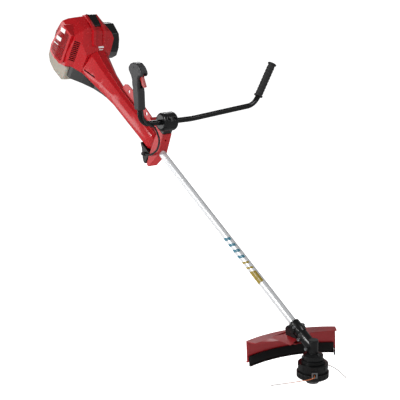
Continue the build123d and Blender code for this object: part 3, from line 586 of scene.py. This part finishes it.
dressed = set()
for material, names in FINISHES:
    for name in names.split():
        dress(nodes[name], material)
        dressed.add(name)
dress(line_right, line_nylon)
dress(line_left, line_nylon)
dress(cable, rubber)
dress(spring, zinc)
print("dressed", len(dressed), "pieces; still plain:", sorted(set(nodes) - dressed))

# %% [markdown]
# ## Blank label plates and a painted highlight
# Real covers carry thin printed plates. These are left blank: a sheet of white-lacquered
# aluminium half a millimetre thick, with rounded corners, lying on a flat facet. On the
# muffler cover the upper plate is no label but a painted highlight: a pale plate put where
# light reflects off the grille. The middle plate there is a plain pale plate. Each is
# built as two rings of points in the facet's plane, one above the other, joined round
# the edge. Its centre is worked out from the facet, and it stands a tenth of a
# millimetre clear, so the two surfaces never fight for the same place.

# %% label lacquer, also used for the painted highlight
def lacquer_and_highlight_material():
    # one white for the label plates and for the pale plate that paints a highlight on the muffler grille
    material, tree, place = new_material("white_lacquer_and_painted_highlight")
    wear = add(tree, "TexNoise", {"Vector": place, "Scale": per_mm(3), "Detail": 5.0}).outputs["Fac"]
    colour = add(tree, "Mix", {"Factor": wear, "A": linear("C9C4C4"), "B": linear("DEDADA")},
                 data_type="RGBA").outputs["Result"]
    rough = add(tree, "MapRange", {"Value": wear, "To Min": 0.25, "To Max": 0.45}).outputs[0]
    bump = add(tree, "Bump", {"Height": wear, "Strength": 0.3, "Distance": 0.02 * MM}).outputs["Normal"]
    surface(tree, {"Base Color": colour, "Roughness": rough, "Normal": bump, "IOR": 1.5})
    return material


label_and_highlight_white = lacquer_and_highlight_material()

# %% label plates and the painted highlight plate
LABEL_AND_HIGHLIGHT_THICK = 0.0005
LABEL_AND_HIGHLIGHT_LIFT = 0.0001
CORNER = 0.0012
# each facet: which way it faces and its width direction, in the shaft frame
FRONT_OUT, FRONT_ACROSS = (-0.848, 0, 0.530), (0, -1, 0)
COVER_OUT, COVER_ACROSS = (-0.291, 0.957, 0), (0.957, 0.291, 0)
# a station on each facet, how far out it lies there, and how much further per metre
FRONT_STATION, FRONT_OFF, FRONT_RISE = 1.4526, 0.075, 0.063 / 0.0394
COVER_STATION, COVER_RIGHT, COVER_FLARE = 1.5585, 0.1175, 0.291 / 0.957


def on_front(station, right):
    """A point on the cowling's sloping front facet, to a tenth of a millimetre."""
    return station, right, round(FRONT_OFF + (station - FRONT_STATION) * FRONT_RISE, 4)


def on_cover(station, off):
    """A point on the muffler cover's outer face, to a hundredth of a millimetre."""
    return station, round(COVER_RIGHT + (station - COVER_STATION) * COVER_FLARE, 5), off


# name, centre, outward direction, width direction, width and height
LABELS_AND_HIGHLIGHT = [
    ("front_label", on_front(1.4600, -0.005), FRONT_OUT, FRONT_ACROSS, 0.024, 0.0068),
    ("front_strip_label", on_front(1.4550, -0.004), FRONT_OUT, FRONT_ACROSS, 0.017, 0.0030),
    # not a label: a painted highlight, a pale plate where light reflects off the muffler grille
    ("muffler_painted_highlight_plate", on_cover(1.5575, 0.1010), COVER_OUT, COVER_ACROSS, 0.022, 0.018),
    # a plain pale plate on the muffler cover, below the painted highlight
    ("muffler_middle_pale_plate", on_cover(1.5650, 0.0590), COVER_OUT, COVER_ACROSS, 0.024, 0.016),
    ("muffler_strip_label", on_cover(1.5700, 0.0330), COVER_OUT, COVER_ACROSS, 0.022, 0.0035),
]


def turned(direction):
    """A shaft-frame direction in the common frame."""
    return (UP_SHAFT * direction[0] + RIGHT * direction[1] + OFF_SHAFT * direction[2]).normalized()


def label_and_highlight_plate(name, centre, outward, across, width, height):
    """A thin plate with rounded corners on a flat facet."""
    out, side = turned(outward), turned(across)
    tall = out.cross(side)
    middle = along(*centre) + out * (LABEL_AND_HIGHLIGHT_LIFT + LABEL_AND_HIGHLIGHT_THICK / 2)
    mesh = bmesh.new()
    for lift in (-LABEL_AND_HIGHLIGHT_THICK / 2, LABEL_AND_HIGHLIGHT_THICK / 2):
        ring = []
        for quarter in range(4):
            x = (width / 2 - CORNER) * (1 if quarter in (0, 3) else -1)
            y = (height / 2 - CORNER) * (1 if quarter in (0, 1) else -1)
            for step in range(4):
                turn = math.radians(90 * quarter + 30 * step)
                spot = side * (x + CORNER * math.cos(turn)) + tall * (y + CORNER * math.sin(turn))
                ring.append(mesh.verts.new(middle + spot + out * lift))
        mesh.faces.new(ring)
        if lift < 0:
            lower = ring
    for i, vert in enumerate(ring):
        j = (i + 1) % len(ring)
        mesh.faces.new((lower[i], lower[j], ring[j], vert))
    bmesh.ops.recalc_face_normals(mesh, faces=mesh.faces)
    data = bpy.data.meshes.new(name)
    mesh.to_mesh(data)
    mesh.free()
    piece = bpy.data.objects.new(name, data)
    bpy.context.collection.objects.link(piece)
    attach(piece, "frame")
    dress(piece, label_and_highlight_white)
    return piece


# the label plates, together with the one that is a painted highlight
labels_and_highlight = [label_and_highlight_plate(*row) for row in LABELS_AND_HIGHLIGHT]
print("blank labels:", [piece.name for piece in labels_and_highlight])

# %% [markdown]
# ## Studio
# A pale floor runs back so far that it also serves as the backdrop, seen from a little
# above. It glows by itself, to stay white while the machine is lit modestly, and it is
# left out of glossy reflections, so the black and red parts keep their depth. Four large soft
# lights do the work: one high on the right that models the facets, a weaker one in
# front, one behind that edges the black parts, and one low at the rear right, whose
# long reflection gives the side panels their sheen.

# %%  floor
FLOOR_DROP = 0.002
FLOOR_GLOW = 0.97
floor_z = cad_box[0][2] - FLOOR_DROP
floor_mesh = bpy.data.meshes.new("floor")
reach = 150.0
floor_mesh.from_pydata([(-reach, -reach, floor_z), (reach, -reach, floor_z), (reach, reach, floor_z),
                        (-reach, reach, floor_z)], [], [(0, 1, 2, 3)])
floor = bpy.data.objects.new("floor", floor_mesh)
bpy.context.collection.objects.link(floor)
paper, tree, place = new_material("matt_white_paper")
fibre = add(tree, "TexNoise", {"Vector": place, "Scale": 3.0, "Detail": 2.0})
tone = add(tree, "Mix", {"Factor": fibre.outputs["Fac"], "A": linear("F2F2F2"), "B": linear("F5F5F5")},
           data_type="RGBA")
surface(tree, {"Base Color": tone.outputs["Result"], "Roughness": 0.95,
               "Emission Color": linear("FFFFFF"), "Emission Strength": FLOOR_GLOW})
dress(floor, paper)
floor.visible_glossy = False
print("floor at", round(floor_z, 4))

# %%  lights
def soft_light(name, at, aim, size, watts):
    """A square soft box, aimed at a point."""
    data = bpy.data.lights.new(name, "AREA")
    data.size = size
    data.energy = watts
    light = bpy.data.objects.new(name, data)
    at, aim = Vector(at), Vector(aim)
    light.matrix_world = Matrix.Translation(at) @ (aim - at).to_track_quat("-Z", "Y").to_matrix().to_4x4()
    bpy.context.collection.objects.link(light)


MIDDLE, ENGINE = (0.3, 0, -0.3), (-0.2, 0, 0.1)
# name, place, aim, width in metres, watts
LIGHTS = [
    ("key", (0.2, -3.4, 1.6), ENGINE, 1.2, 100),
    ("front", (3.0, 1.6, 2.6), MIDDLE, 1.2, 40),
    ("back", (-2.4, 1.6, 2.2), MIDDLE, 1.6, 50),
    ("side", (-2.6, -2.2, -0.1), MIDDLE, 1.6, 20),
]
for row in LIGHTS:
    soft_light(*row)
world = bpy.data.worlds.new("studio")
world.use_nodes = True
sky = world.node_tree
up = add(sky, "SeparateXYZ", {"Vector": add(sky, "TexCoord", {}).outputs["Generated"]}).outputs["Z"]
# brighter round the walls than overhead, so faces that look up stay dark
WALL_GLOW, CEILING_GLOW, CEILING_FROM = 0.26, 0.12, 0.75
height = add(sky, "MapRange", {"Value": up, "From Min": 0.0, "From Max": CEILING_FROM,
                               "To Min": WALL_GLOW, "To Max": CEILING_GLOW})
sky.nodes["Background"].inputs["Color"].default_value = linear("FFFFFF")
sky.links.new(height.outputs["Result"], sky.nodes["Background"].inputs["Strength"])
bpy.context.scene.world = world
bpy.context.scene.view_settings.view_transform = "Standard"
print(len(LIGHTS), "soft lights and a pale room")

# %% update the scene
bpy.context.view_layer.update()
